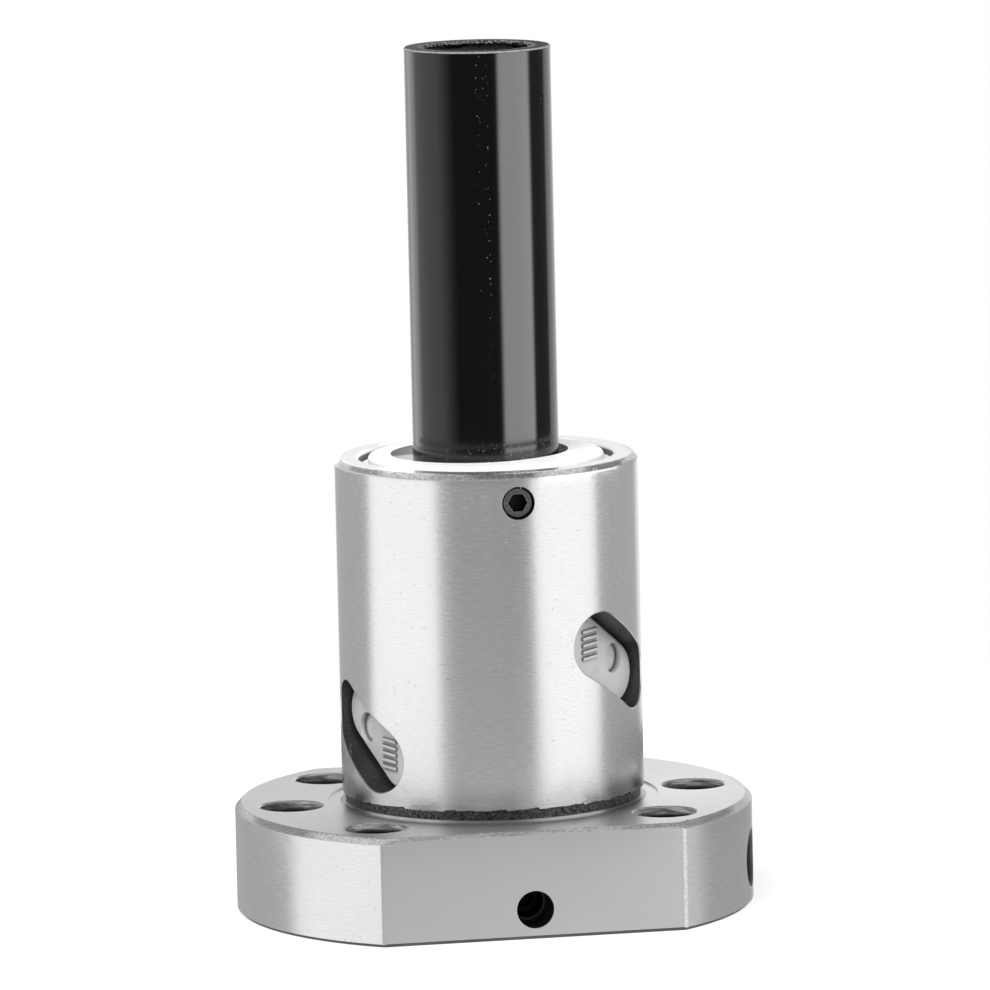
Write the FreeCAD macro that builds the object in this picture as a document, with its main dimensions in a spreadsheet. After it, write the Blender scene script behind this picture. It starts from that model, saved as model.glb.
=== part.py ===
import FreeCAD, Part
import functools
import math
import os
import Sketcher
from FreeCAD import Placement, Rotation, Vector

# Flanged ball screw nut, right hand, with three ball circuits closed by return caps in the
# wall, two plastic wipers and the assembly arbor that holds the balls in.
# Millimetres. Origin at the centre of the flange's lower face, +Z up the bore, front flat
# facing -Y. Angles about +Z are in degrees, counted from +X.

sizes = [
    # thread and balls
    ("lead", 5.0, "travel for each turn of the screw"),
    ("ballDiameter", 3.175, "one eighth inch balls"),
    ("ballCircle", 16.8, "diameter of the circle of ball centres"),
    ("ballGap", 0.02, "least gap between neighbouring balls"),
    ("archRatio", 0.54, "radius of each arc of the track over the ball's diameter"),
    ("archClearance", 0.015, "gap between ball and track at the contact angle"),
    ("landInset", 0.2, "how far the lands reach inside the ball centres"),
    # turned body
    ("barrelDiameter", 28.0, "ground outside of the barrel"),
    ("barrelChamfer", 0.5, "chamfer at the barrel's free end"),
    ("windowGap", 6.9167, "from the flange's face to the lowest window's middle"),
    ("endLength", 11.75, "from the highest window's middle to the free end"),
    ("seatWall", 2.2, "wall round each wiper counterbore"),
    ("seatDepth", 4.6, "depth of each wiper counterbore"),
    ("edgeBreak", 0.2, "broken edge at the mouth of each counterbore"),
    ("flangeThickness", 10.0, "flange height"),
    ("rimMargin", 5.0, "from the circle of bolt holes to the flange's rim"),
    ("flatMargin", 5.5, "from the barrel to the two flats of the flange"),
    ("flangeChamfer", 0.6, "chamfer on the flange's upper rim"),
    ("footChamfer", 0.3, "chamfer on the flange's lower rim"),
    ("cornerChamfer", 0.2, "broken edge between a flat and the rim"),
    ("flatChamfer", 0.35, "broken edge along the flats"),
    ("reliefDepth", 0.3, "depth of the grinding relief at the barrel's foot"),
    ("reliefHeight", 1.3, "height of the grinding relief"),
    ("faceReliefWidth", 1.3, "width beyond the barrel of the relief in the flange's face"),
    ("faceReliefDepth", 0.15, "depth of that relief"),
    # bolt holes
    ("boltOffset", 5.0, "from the barrel to the circle of bolt holes"),
    ("boltHole", 5.8, "clearance hole for a five millimetre bolt"),
    ("boltAngle", 45.0, "angle between neighbouring holes of one side"),
    ("boltMouth", 0.15, "chamfer at each mouth of a bolt hole"),
    # oil port
    ("oilPortAngle", -18.5, "where the port leaves the rim"),
    ("oilPortRise", 4.2, "height of the port's axis"),
    ("oilPortDiameter", 5.0, "core of the six millimetre thread"),
    ("oilPortDepth", 8.0, "threaded depth from the rim"),
    ("oilPortMouth", 0.25, "chamfer at the port's mouth"),
    ("oilFeedDiameter", 1.6, "drilling on to the ball track"),
    ("oilFeedStep", 0.3, "from the lower counterbore to that drilling"),
    # screws that hold the wipers
    ("screwDiameter", 3.0, "thread of the set screws"),
    ("screwLength", 2.8, "length of the set screws"),
    ("screwSocket", 1.6, "hexagon socket across flats"),
    ("screwSocketDepth", 1.3, "depth of the socket"),
    ("screwEnd", 0.22, "chamfer of a set screw's outer end"),
    ("screwPoint", 0.6, "chamfer at the point"),
    ("screwClearance", 0.02, "radial gap between screw and hole"),
    ("screwTurn", 1.2, "angle from the middle of the flat to the upper screw"),
    ("screwInset", 2.75, "distance of each screw from its end of the nut"),
    ("screwBite", 0.95, "how far the point stands out of the counterbore's wall"),
    ("screwThreadLength", 3.4, "thread of the lower hole, outwards from the counterbore"),
    ("screwAccess", 3.45, "drilling from the flat to the lower screw"),
    # windows and return caps
    ("windowAngle", -161.8, "direction of the lowest window"),
    ("windowTilt", -31.4, "slope of each window's length"),
    ("windowRadius", 3.07, "round ends of a window"),
    ("windowSpan", 6.8, "distance between the centres of its round ends"),
    ("windowEdge", 0.12, "broken edge round a window"),
    ("capClearance", 0.1, "gap between cap and window"),
    ("capWall", 0.37, "wall of a cap over the highest ball"),
    ("capBevel", 0.35, "bevel round the face"),
    ("capRecessDiameter", 2.8, "round recess in the face"),
    ("capRecessDepth", 0.55, "depth of the recess"),
    ("capRecessOffset", 2.5, "distance of the recess from the middle"),
    ("capRecessRise", 0.3, "distance of the recess above the middle"),
    ("capBarLength", 2.7, "raised cavity bars on the other half of the face"),
    ("capBarWidth", 0.28, "width of a bar"),
    ("capBarPitch", 0.62, "distance from bar to bar"),
    ("capBarHeight", 0.18, "height of a bar"),
    ("capBarOffset", 1.75, "distance of the bars to one side of the middle"),
    ("capBarDrop", 1.6, "distance of the bars below the middle"),
    ("bendClearance", 0.1, "least radius of the channel's bends less its own radius"),
    ("crossoverLift", 1.25, "how far the balls rise to clear the screw's crest"),
    ("channelClearance", 0.09, "radial gap between ball and crossover channel"),
    # wipers
    ("wiperHeight", 4.4, "height of each wiper"),
    ("wiperOpening", 0.6, "how much wider than the lands the wiper's bore is, radially"),
    ("wiperClearance", 0.1, "gap between wiper and counterbore, and between wiper and screw"),
    ("wiperShoulder", 0.9, "from the counterbore to the wiper's raised face"),
    ("wiperStep", 1.0, "height of the raised face"),
    ("wiperRound", 0.45, "rounding of the raised face"),
    ("wiperProud", 0.2, "how far the upper wiper stands out of the nut"),
    ("wiperRecess", 0.1, "how far the lower wiper lies inside the nut"),
    ("wiperPocketGap", 0.4, "radial gap between set screw and its pocket"),
    ("ridgeAngle", -58.0, "where the upper wiper's ridge reaches its face"),
    ("ridgeRoot", 0.3, "how deep the ridge's root lies in the ring"),
    ("ridgeWidth", 3.5, "width of the ridge at its root"),
    ("ridgeCrest", 0.3, "width of the ridge at its crest"),
    ("ridgeGap", 0.12, "gap between the ridge and the arbor"),
    # assembly arbor
    ("arborClearance", 0.0625, "gap between the balls and the arbor"),
    ("arborWall", 1.65, "wall of the tube"),
    ("arborLength", 79.8, "length of the tube"),
    ("arborEdge", 0.12, "chamfer at its cut ends"),
]
circuitCount = 3
barsPerCap = 5

doc = FreeCAD.newDocument("BallScrewNut")
sheet = doc.addObject("Spreadsheet::Sheet", "Sizes")
for row, (alias, value, note) in enumerate(sizes, start=1):
    sheet.set(f"A{row}", note)
    sheet.set(f"B{row}", str(value))
    sheet.setAlias(f"B{row}", alias)
doc.recompute()

# Sizes that follow from the sheet
ballRadius = "(Sizes.ballDiameter / 2)"
pathRadius = "(Sizes.ballCircle / 2)"
landRadius = f"({pathRadius} - Sizes.landInset)"
barrelRadius = "(Sizes.barrelDiameter / 2)"
seatRadius = f"({barrelRadius} - Sizes.seatWall)"
boltRadius = f"({barrelRadius} + Sizes.boltOffset)"
rimRadius = f"({boltRadius} + Sizes.rimMargin)"
flatDistance = f"({barrelRadius} + Sizes.flatMargin)"
firstWindow = "(Sizes.flangeThickness + Sizes.windowGap)"
windowPitch = f"(Sizes.lead * {circuitCount + 1} / {circuitCount})"
nutLength = f"({firstWindow} + {circuitCount - 1} * {windowPitch} + Sizes.endLength)"
screwTip = f"({seatRadius} - Sizes.screwBite)"
channelRadius = f"({ballRadius} + Sizes.channelClearance)"
capFace = f"({pathRadius} + Sizes.crossoverLift + {channelRadius} + Sizes.capWall)"
wiperRadius = f"({seatRadius} - Sizes.wiperClearance)"
wiperBore = f"({landRadius} + Sizes.wiperOpening)"
wiperFace = f"({seatRadius} - Sizes.wiperShoulder)"
arborRadius = f"({pathRadius} - {ballRadius} - Sizes.arborClearance)"


@functools.lru_cache(maxsize=None)
def size(text):
    """Value of a sheet cell, or of an expression on the sheet's cells."""
    return float(sheet.evalExpression(text))


def bind(item, **links):
    """Tie properties of an object to expressions on the sheet."""
    for name, text in links.items():
        item.setExpression(name, text)


# Helpers for sketches and features

def facing(angle, rise="0", outward="0", tilt=0.0):
    """Offset from the front plane to a plane square to a radius of the nut."""
    turned = Placement(Vector(0, size(rise), 0), Rotation(Vector(0, 1, 0), angle + 90))
    return turned.multiply(Placement(Vector(0, 0, size(outward)), Rotation(Vector(0, 0, 1), tilt)))


def attach(feature, body, role, offset=None):
    plane = next(item for item in body.Origin.OriginFeatures if item.Role == role)
    feature.AttachmentSupport = [(plane, "")]
    feature.MapMode = "FlatFace"
    if offset:
        feature.AttachmentOffset = offset


def addSketch(body, name, role="XZ_Plane", offset=None):
    sketch = body.newObject("Sketcher::SketchObject", name)
    attach(sketch, body, role, offset)
    return sketch


def constrain(sketch, *terms):
    """Add a constraint whose last term is an expression on the sheet."""
    number = sketch.addConstraint(Sketcher.Constraint(*terms[:-1], size(terms[-1])))
    sketch.setExpression(f"Constraints[{number}]", terms[-1])


def pin(sketch, geometry, vertex, across, up):
    """Hold a point of the sketch at a place given by two expressions."""
    constrain(sketch, "DistanceX", -1, 1, geometry, vertex, across)
    constrain(sketch, "DistanceY", -1, 1, geometry, vertex, up)


def drawOutline(sketch, corners):
    """Closed outline of straight lines through corners given as expressions."""
    points = [Vector(size(across), size(up), 0) for across, up in corners]
    first = sketch.GeometryCount
    for start, end in zip(points, points[1:] + points[:1]):
        sketch.addGeometry(Part.LineSegment(start, end))
    for step, (across, up) in enumerate(corners):
        following = first + (step + 1) % len(corners)
        sketch.addConstraint(Sketcher.Constraint("Coincident", first + step, 2, following, 1))
        pin(sketch, first + step, 1, across, up)


def drawCircle(sketch, across, up, radius):
    centre = Vector(size(across), size(up), 0)
    number = sketch.addGeometry(Part.Circle(centre, Vector(0, 0, 1), size(radius)))
    pin(sketch, number, 3, across, up)
    constrain(sketch, "Radius", number, radius)


def drawStadium(sketch, radius, span):
    """Slot outline along the sketch's first axis, centred on its origin."""
    end, half = size(radius), size(span) / 2
    axis = Vector(0, 0, 1)
    top = sketch.addGeometry(Part.LineSegment(Vector(-half, end, 0), Vector(half, end, 0)))
    right = Part.Circle(Vector(half, 0, 0), axis, end)
    right = sketch.addGeometry(Part.ArcOfCircle(right, -math.pi / 2, math.pi / 2))
    foot = sketch.addGeometry(Part.LineSegment(Vector(half, -end, 0), Vector(-half, -end, 0)))
    left = Part.Circle(Vector(-half, 0, 0), axis, end)
    left = sketch.addGeometry(Part.ArcOfCircle(left, math.pi / 2, 3 * math.pi / 2))
    for joined in ((top, 2, right, 2), (right, 1, foot, 1), (foot, 2, left, 2), (left, 1, top, 1)):
        sketch.addConstraint(Sketcher.Constraint("Tangent", *joined))
    sketch.addConstraint(Sketcher.Constraint("Horizontal", top))
    constrain(sketch, "Radius", right, radius)
    pin(sketch, right, 3, f"{span} / 2", "0")
    pin(sketch, left, 3, f"-{span} / 2", "0")


def cutAway(body, name, sketch, length, outward=True):
    """Pocket from the sketch's plane, towards its normal if outward."""
    pocket = body.newObject("PartDesign::Pocket", name)
    pocket.Profile = sketch
    pocket.Reversed = outward
    bind(pocket, Length=length)
    before = body.Shape.Volume
    doc.recompute()
    if pocket.Shape.Volume > before - 1e-6:
        raise RuntimeError(f"{name} removes nothing")
    return pocket


def dress(body, kind, name, amount, chosen):
    """Chamfer or fillet the edges of the body's tip that the test chosen accepts."""
    base = body.Tip
    edges = [f"Edge{n}" for n, edge in enumerate(base.Shape.Edges, start=1) if chosen(edge)]
    feature = body.newObject(f"PartDesign::{kind}", name)
    feature.Base = (base, edges)
    bind(feature, **{"Size" if kind == "Chamfer" else "Radius": amount})
    doc.recompute()
    return feature


def revolve(body, name, sketch):
    turned = body.newObject("PartDesign::Revolution", name)
    turned.Profile = sketch
    turned.ReferenceAxis = (sketch, ["V_Axis"])
    turned.Angle = 360
    doc.recompute()
    return turned


def sweepAlong(helix, name, section):
    swept = doc.addObject("Part::Sweep", name)
    swept.Sections = [section]
    swept.Spine = (helix, [])
    swept.Solid = True
    swept.Frenet = True
    return swept


def near(number, text):
    return abs(number - size(text)) < 1e-4


def isRing(edge, height, radius=None):
    """Whether an edge is a whole circle about Z at a height, of a radius if one is given."""
    return (isinstance(edge.Curve, Part.Circle) and near(edge.CenterOfMass.z, height)
            and (radius is None or near(edge.Curve.Radius, radius)))


# The way of the balls under one cap. The cap's own frame has the middle of the window on
# the front side, at height 0. A circuit is one turn of the helix closed by the crossover.

def windowTurn(index):
    return size("Sizes.windowAngle") + 360 * index / circuitCount


def windowLift(index):
    return f"({firstWindow} + {index} * {windowPitch})"


def circuitPlacement(index):
    """From the frame of a cap to the place of one of the windows."""
    return Placement(Vector(0, 0, size(windowLift(index))), Rotation(Vector(0, 0, 1), windowTurn(index) + 90))


@functools.lru_cache(maxsize=None)
def crossoverHalf():
    """Half of the angle over which the balls cross a land: the least that the bends allow."""
    low, high = 0.0, 180.0
    for _ in range(30):
        half = (low + high) / 2
        if tightestBend(half) < size(f"{channelRadius} + Sizes.bendClearance"):
            low = half
        else:
            high = half
    return high


def tightestBend(half, steps=30):
    """Radius of the sharpest bend of a crossover with this half angle."""
    points = [crossoverPoint(half * step / steps, half) for step in range(-steps, steps + 1)]
    return min(Part.Circle(*points[first:first + 3]).Radius for first in range(len(points) - 2))


def crossoverPoint(angle, half):
    """Ball centre on its S-shaped way from one turn of the track to the turn before."""
    share = angle / half
    lead = size("Sizes.lead")
    height = -(lead / 2 - lead * half / 360) * math.sin(math.pi / 2 * share)
    lift = size("Sizes.crossoverLift") * (1 + math.cos(math.pi * share)) / 2
    return atAngle(size(pathRadius) + lift, angle, height)


def atAngle(radius, angle, height):
    """Point at an angle past the middle of a cap's own window."""
    turn = math.radians(angle - 90)
    return Vector(radius * math.cos(turn), radius * math.sin(turn), height)


def pathPoint(angle):
    """Ball centre at an angle past the window's middle, from -180 to 360 degrees."""
    if angle > 180:
        angle -= 360
    if abs(angle) < crossoverHalf():
        return crossoverPoint(angle, crossoverHalf())
    lead = size("Sizes.lead")
    height = lead * angle / 360 - math.copysign(lead / 2, angle)
    return atAngle(size(pathRadius), angle, height)


def nextAngle(angle, gap):
    """Angle at which the following ball lies, with its centre a gap away."""
    here = pathPoint(angle % 360)
    low, high = angle, angle + 90
    for _ in range(40):
        middle = (low + high) / 2
        if (pathPoint(middle % 360) - here).Length < gap:
            low = middle
        else:
            high = middle
    return low


def ballAngles():
    """As many balls as the closed path of a circuit holds, evenly spaced."""
    least = size("Sizes.ballDiameter + Sizes.ballGap")
    count, angle = 0, 0.0
    while angle <= 360:
        angle = nextAngle(angle, least)
        count += 1
    count -= 1
    low, high = least, 2 * least
    for _ in range(40):
        gap = (low + high) / 2
        angles = [0.0]
        for _ in range(count):
            angles.append(nextAngle(angles[-1], gap))
        if angles[-1] < 360:
            low = gap
        else:
            high = gap
    print(f"{count} balls in each circuit, {low:.4f} apart")
    return angles[:-1]


# Turned body

def makeBlank():
    body = doc.addObject("PartDesign::Body", "NutBlank")
    profile = addSketch(body, "NutProfile")
    broken = f"{seatRadius} + Sizes.edgeBreak"
    neck = f"{barrelRadius} - Sizes.reliefDepth"
    reliefRim = f"{barrelRadius} + Sizes.faceReliefWidth"
    reliefFloor = "Sizes.flangeThickness - Sizes.faceReliefDepth"
    drawOutline(profile, [
        (seatRadius, "Sizes.edgeBreak"),
        (broken, "0"),
        (f"{rimRadius} - Sizes.footChamfer", "0"),
        (rimRadius, "Sizes.footChamfer"),
        (rimRadius, "Sizes.flangeThickness - Sizes.flangeChamfer"),
        (f"{rimRadius} - Sizes.flangeChamfer", "Sizes.flangeThickness"),
        (reliefRim, "Sizes.flangeThickness"),
        (reliefRim, reliefFloor),
        (neck, reliefFloor),
        (neck, "Sizes.flangeThickness + Sizes.reliefHeight - Sizes.reliefDepth"),
        (barrelRadius, "Sizes.flangeThickness + Sizes.reliefHeight"),
        (barrelRadius, f"{nutLength} - Sizes.barrelChamfer"),
        (f"{barrelRadius} - Sizes.barrelChamfer", nutLength),
        (broken, nutLength),
        (seatRadius, f"{nutLength} - Sizes.edgeBreak"),
        (seatRadius, f"{nutLength} - Sizes.seatDepth"),
        (landRadius, f"{nutLength} - Sizes.seatDepth"),
        (landRadius, "Sizes.seatDepth"),
        (seatRadius, "Sizes.seatDepth"),
    ])
    revolve(body, "NutTurning", profile)

    flats = addSketch(body, "Flats", "XY_Plane")
    for side in ("", "-"):
        inner, outer = f"{side}{flatDistance}", f"{side}2 * {rimRadius}"
        drawOutline(flats, [(f"-2 * {rimRadius}", inner), (f"2 * {rimRadius}", inner),
                            (f"2 * {rimRadius}", outer), (f"-2 * {rimRadius}", outer)])
    cutAway(body, "FlatsCut", flats, "Sizes.flangeThickness")
    dress(body, "Chamfer", "FlatEdges", "Sizes.flatChamfer", lambda edge: (
        isinstance(edge.Curve, Part.Line)
        and near(abs(edge.CenterOfMass.y), flatDistance)
        and near(abs(edge.tangentAt(edge.FirstParameter).x), "1")))

    dress(body, "Chamfer", "FlatCorners", "Sizes.cornerChamfer", lambda edge: (
        isinstance(edge.Curve, Part.Line)
        and near(abs(edge.CenterOfMass.y), flatDistance)
        and near(abs(edge.tangentAt(edge.FirstParameter).z), "1")))

    holes = addSketch(body, "BoltHoles", "XY_Plane")
    for side in (0, 180):
        for step in (-1, 0, 1):
            turn = f"({side} + {step} * Sizes.boltAngle)"
            drawCircle(holes, f"{boltRadius} * cos({turn})", f"{boltRadius} * sin({turn})",
                       "Sizes.boltHole / 2")
    cutAway(body, "BoltDrilling", holes, "Sizes.flangeThickness")
    dress(body, "Chamfer", "BoltMouths", "Sizes.boltMouth", lambda edge: (
        isinstance(edge.Curve, Part.Circle) and near(edge.Curve.Radius, "Sizes.boltHole / 2")))

    for index in range(circuitCount):
        plane = facing(windowTurn(index), windowLift(index), tilt=size("Sizes.windowTilt"))
        window = addSketch(body, f"Window{index + 1}", offset=plane)
        drawStadium(window, "Sizes.windowRadius", "Sizes.windowSpan")
        cutAway(body, f"WindowMilling{index + 1}", window, "Sizes.barrelDiameter")
    dress(body, "Chamfer", "WindowEdges", "Sizes.windowEdge", lambda edge: (
        not isinstance(edge.Curve, (Part.Line, Part.Circle))
        and all(near(math.hypot(vertex.X, vertex.Y), barrelRadius) for vertex in edge.Vertexes)))
    drillRadial(body)
    return body


def drillRadial(body):
    """Oil port and the holes of the two set screws."""
    portRoot = f"({rimRadius} - Sizes.oilPortDepth)"
    portAngle, portRise = size("Sizes.oilPortAngle"), "Sizes.oilPortRise"
    port = addSketch(body, "OilPort", offset=facing(portAngle, portRise, portRoot))
    drawCircle(port, "0", "0", "Sizes.oilPortDiameter / 2")
    cutAway(body, "OilPortDrilling", port, rimRadius)
    dress(body, "Chamfer", "OilPortMouth", "Sizes.oilPortMouth", lambda edge: (
        not isinstance(edge.Curve, (Part.Line, Part.Circle))
        and near(edge.CenterOfMass.z, portRise)
        and all(near(math.hypot(vertex.X, vertex.Y), rimRadius) for vertex in edge.Vertexes)))
    feedRise = "Sizes.seatDepth + Sizes.oilFeedStep + Sizes.oilFeedDiameter / 2"
    feed = addSketch(body, "OilFeed", offset=facing(portAngle, feedRise, f"{landRadius} / 2"))
    drawCircle(feed, "0", "0", "Sizes.oilFeedDiameter / 2")
    cutAway(body, "OilFeedDrilling", feed, f"{portRoot} - {landRadius} / 2 + Sizes.oilFeedDiameter / 2")

    thread = "Sizes.screwDiameter / 2 + Sizes.screwClearance"
    access = f"({seatRadius} + Sizes.screwThreadLength)"
    upper = f"{nutLength} - Sizes.screwInset"
    turned = size("Sizes.screwTurn") - 90
    holes = [
        ("LowerScrewHole", -90, "Sizes.screwInset", screwTip, thread, f"{access} - {screwTip}"),
        ("LowerScrewAccess", -90, "Sizes.screwInset", access, "Sizes.screwAccess / 2", flatDistance),
        ("UpperScrewHole", turned, upper, screwTip, thread, barrelRadius),
    ]
    for name, angle, rise, start, radius, length in holes:
        hole = addSketch(body, name, offset=facing(angle, rise, start))
        drawCircle(hole, "0", "0", radius)
        cutAway(body, f"{name}Drilling", hole, length)


def makeTrack():
    """Helical cutter with a pointed arch section, from one wiper seat to the other."""
    level = f"({firstWindow} - Sizes.lead / 2 - Sizes.lead * Sizes.windowAngle / 360)"
    archRadius = "(Sizes.archRatio * Sizes.ballDiameter)"
    below = f"ceil(({level} - Sizes.seatDepth + {archRadius}) / Sizes.lead)"
    start = f"({level} - Sizes.lead * {below})"
    turns = f"ceil(({nutLength} - Sizes.seatDepth + {archRadius} - {start}) / Sizes.lead)"
    helix = doc.addObject("Part::Helix", "TrackPath")
    bind(helix, Pitch="Sizes.lead", Height=f"Sizes.lead * {turns}", Radius=pathRadius)
    helix.Placement = Placement(Vector(0, 0, size(start)), Rotation())

    shift = f"(({archRadius} - {ballRadius} - Sizes.archClearance) * cos(45))"
    middle = f"({pathRadius} - {shift})"
    opening = f"({landRadius} - {ballRadius} / 3)"
    radius, offset = size(archRadius), size(shift)
    lip = math.acos((size(opening) - size(middle)) / radius)
    point = math.asin(offset / radius)
    section = doc.addObject("Sketcher::SketchObject", "TrackSection")
    section.Placement = Placement(Vector(0, 0, size(start)), Rotation(Vector(1, 0, 0), 90))
    axis = Vector(0, 0, 1)
    lower = Part.Circle(Vector(size(middle), -offset, 0), axis, radius)
    upper = Part.Circle(Vector(size(middle), offset, 0), axis, radius)
    section.addGeometry(Part.ArcOfCircle(lower, point, lip))
    section.addGeometry(Part.ArcOfCircle(upper, -lip, -point))
    first, second = section.Geometry
    section.addGeometry(Part.LineSegment(first.EndPoint, second.StartPoint))
    for joined in ((0, 1, 1, 2), (0, 2, 2, 1), (2, 2, 1, 1)):
        section.addConstraint(Sketcher.Constraint("Coincident", *joined))
    section.addConstraint(Sketcher.Constraint("Vertical", 2))
    for arc, side in ((0, "-"), (1, "")):
        pin(section, arc, 3, middle, f"{side}{shift}")
        constrain(section, "Radius", arc, archRadius)
    constrain(section, "DistanceX", -1, 1, 2, 1, opening)
    return sweepAlong(helix, "BallTrack", section)


def makeNutBody():
    blank = makeBlank()
    track = makeTrack()
    nut = doc.addObject("Part::Cut", "NutBody")
    nut.Base = blank
    nut.Tool = track
    nut.Refine = False
    nut.Label = "nut_body"
    return nut


# Return caps: one die casting, used once in each window

def makeCasting():
    body = doc.addObject("PartDesign::Body", "CapCasting")
    outline = addSketch(body, "CapOutline", offset=facing(-90, tilt=size("Sizes.windowTilt")))
    drawStadium(outline, "(Sizes.windowRadius - Sizes.capClearance)", "Sizes.windowSpan")
    block = body.newObject("PartDesign::Pad", "CapBlock")
    block.Profile = outline
    bind(block, Length=capFace)
    doc.recompute()
    reach = "(Sizes.windowSpan + 2 * Sizes.windowRadius)"
    bore = addSketch(body, "CapBore", "XY_Plane", Placement(Vector(0, 0, -size(reach)), Rotation()))
    drawCircle(bore, "0", "0", landRadius)
    cutAway(body, "CapBoring", bore, f"2 * {reach}")

    face = facing(-90, outward=capFace)
    dress(body, "Chamfer", "CapBevels", "Sizes.capBevel", lambda edge: all(
        near(-vertex.Y, capFace) for vertex in edge.Vertexes))
    recess = addSketch(body, "CapRecess", offset=face)
    drawCircle(recess, "-Sizes.capRecessOffset", "Sizes.capRecessRise", "Sizes.capRecessDiameter / 2")
    cutAway(body, "CapRecessing", recess, "Sizes.capRecessDepth", outward=False)
    bars = addSketch(body, "CapBars", offset=face)
    left = "Sizes.capBarOffset - Sizes.capBarLength / 2"
    right = "Sizes.capBarOffset + Sizes.capBarLength / 2"
    for bar in range(barsPerCap):
        level = f"Sizes.capBarPitch * {bar - (barsPerCap - 1) / 2} - Sizes.capBarDrop"
        low, high = f"{level} - Sizes.capBarWidth / 2", f"{level} + Sizes.capBarWidth / 2"
        drawOutline(bars, [(left, low), (right, low), (right, high), (left, high)])
    raised = body.newObject("PartDesign::Pad", "CapRaising")
    raised.Profile = bars
    bind(raised, Length="Sizes.capBarHeight")
    return body


def makeChannel():
    """Cutter for the S-shaped way that takes the balls back over one land."""
    halfLength = size(f"Sizes.windowSpan / 2 + Sizes.windowRadius + {ballRadius}")
    reach = math.degrees(halfLength / size(pathRadius))
    steps = 24
    points = [pathPoint(reach * (2 * step / steps - 1)) for step in range(steps + 1)]
    curve = Part.BSplineCurve()
    curve.interpolate(points)
    path = Part.Wire([curve.toShape()])
    start = curve.tangent(curve.FirstParameter)[0]
    section = Part.Wire([Part.makeCircle(size(channelRadius), points[0], start)])
    channel = doc.addObject("Part::Feature", "CapChannel")
    channel.Shape = path.makePipeShell([section], True, False)
    return channel


def makeCaps():
    """The finished caps. The middle one sits the other way round in its window."""
    casting, channel = makeCasting(), makeChannel()
    caps = []
    for index in range(circuitCount):
        cap = doc.addObject("Part::Cut", f"ReturnCap{index + 1}")
        cap.Base = casting
        cap.Tool = channel
        cap.Refine = False
        cap.Label = f"return_cap_{index + 1}"
        turned = Placement(Vector(), Rotation(Vector(0, 1, 0), 180 * (index % 2)))
        cap.Placement = circuitPlacement(index).multiply(turned)
        caps.append(cap)
    return caps


# Loose and fitted pieces

def makeBalls():
    balls = []
    angles = ballAngles()
    for index in range(circuitCount):
        for number, angle in enumerate(angles, start=1):
            ball = doc.addObject("Part::Sphere", f"Ball{index + 1}x{number:02d}")
            ball.Label = f"ball_{index + 1}_{number:02d}"
            bind(ball, Radius=ballRadius)
            centre = circuitPlacement(index).multVec(pathPoint(angle))
            ball.Placement = Placement(centre, Rotation())
            balls.append(ball)
    return balls


def makeWiperRing():
    """Stepped ring with a pocket for the set screw, in a frame with its face at height 0."""
    body = doc.addObject("PartDesign::Body", "WiperRing")
    profile = addSketch(body, "WiperProfile")
    drawOutline(profile, [
        (wiperBore, "0"),
        (wiperFace, "0"),
        (wiperFace, "-Sizes.wiperStep"),
        (wiperRadius, "-Sizes.wiperStep"),
        (wiperRadius, "-Sizes.wiperHeight"),
        (wiperBore, "-Sizes.wiperHeight"),
    ])
    revolve(body, "WiperTurning", profile)
    dress(body, "Fillet", "WiperEdge", "Sizes.wiperRound", lambda edge: isRing(edge, "0", wiperFace))
    level = "-(Sizes.screwInset + (Sizes.wiperProud - Sizes.wiperRecess) / 2)"
    floor = f"{screwTip} - 2 * Sizes.wiperClearance"
    pocket = addSketch(body, "WiperPocket", offset=facing(-90, level, floor))
    drawCircle(pocket, "0", "0", "Sizes.screwDiameter / 2 + Sizes.wiperPocketGap")
    cutAway(body, "WiperPocketing", pocket, seatRadius)
    return body


def makeWiperRidge():
    """The ridge that runs in the screw's groove, cut off at the wiper's two faces."""
    below = "Sizes.lead * (1 + ceil(Sizes.wiperHeight / Sizes.lead))"
    helix = doc.addObject("Part::Helix", "RidgePath")
    bind(helix, Pitch="Sizes.lead", Height=f"{below} + Sizes.lead", Radius=pathRadius)
    turned = Rotation(Vector(0, 0, 1), size("Sizes.ridgeAngle"))
    helix.Placement = Placement(Vector(0, 0, -size(below)), turned)
    section = doc.addObject("Sketcher::SketchObject", "RidgeSection")
    section.Placement = helix.Placement.multiply(Placement(Vector(), Rotation(Vector(1, 0, 0), 90)))
    crest, root = f"{arborRadius} + Sizes.ridgeGap", f"{wiperBore} + Sizes.ridgeRoot"
    drawOutline(section, [
        (crest, "-Sizes.ridgeCrest / 2"),
        (root, "-Sizes.ridgeWidth / 2"),
        (root, "Sizes.ridgeWidth / 2"),
        (crest, "Sizes.ridgeCrest / 2"),
    ])
    ridge = sweepAlong(helix, "RidgeSweep", section)
    room = doc.addObject("Part::Cylinder", "WiperRoom")
    bind(room, Radius=wiperFace, Height="Sizes.wiperHeight")
    room.Placement = Placement(Vector(0, 0, -size("Sizes.wiperHeight")), Rotation())
    trimmed = doc.addObject("Part::Common", "WiperRidge")
    trimmed.Base = ridge
    trimmed.Tool = room
    return trimmed


def makeWipers():
    """Two equal wipers, the lower one turned over."""
    ring, ridge = makeWiperRing(), makeWiperRidge()
    turned = Rotation(Vector(0, 0, 1), size("Sizes.screwTurn"))
    upper = Placement(Vector(0, 0, size(f"{nutLength} + Sizes.wiperProud")), turned)
    lower = Placement(Vector(0, 0, size("Sizes.wiperRecess")), Rotation(Vector(0, 1, 0), 180))
    wipers = []
    for name, placement in (("wiper_top", upper), ("wiper_bottom", lower)):
        wiper = doc.addObject("Part::Fuse", name.title().replace("_", ""))
        wiper.Base = ring
        wiper.Tool = ridge
        wiper.Label = name
        wiper.Placement = placement
        wipers.append(wiper)
    return wipers


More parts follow.
